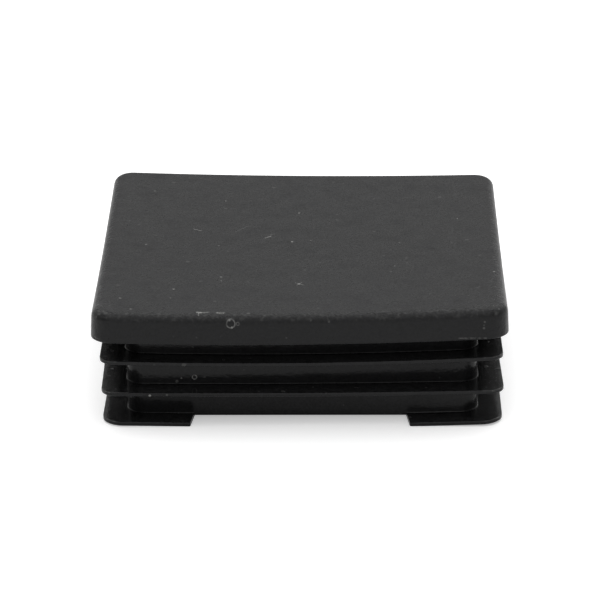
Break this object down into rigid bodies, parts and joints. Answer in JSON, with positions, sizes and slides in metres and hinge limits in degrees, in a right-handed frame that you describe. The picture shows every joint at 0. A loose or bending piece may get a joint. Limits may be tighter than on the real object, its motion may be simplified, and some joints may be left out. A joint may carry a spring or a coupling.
{
  "type": "square tube end plug",
  "caption": "Push-in end plug for a square tube: a soft-edged, slightly dished cap on a hollow insert with sealing fins and corner feet.",
  "frame": {"origin": "middle of the face that the corner feet stand on, which is the end that goes into the tube first", "axes": "+Z along the tube's axis, from the feet to the cap; X and Y along the sides of the square"},
  "size_m": [0.1, 0.1, 0.0309],
  "materials": {
    "black_plastic": "matte black moulded plastic with a fine grain"
  },
  "bodies": {
    "root": {"end_plug": "black_plastic"}
  },
  "joints": []
}
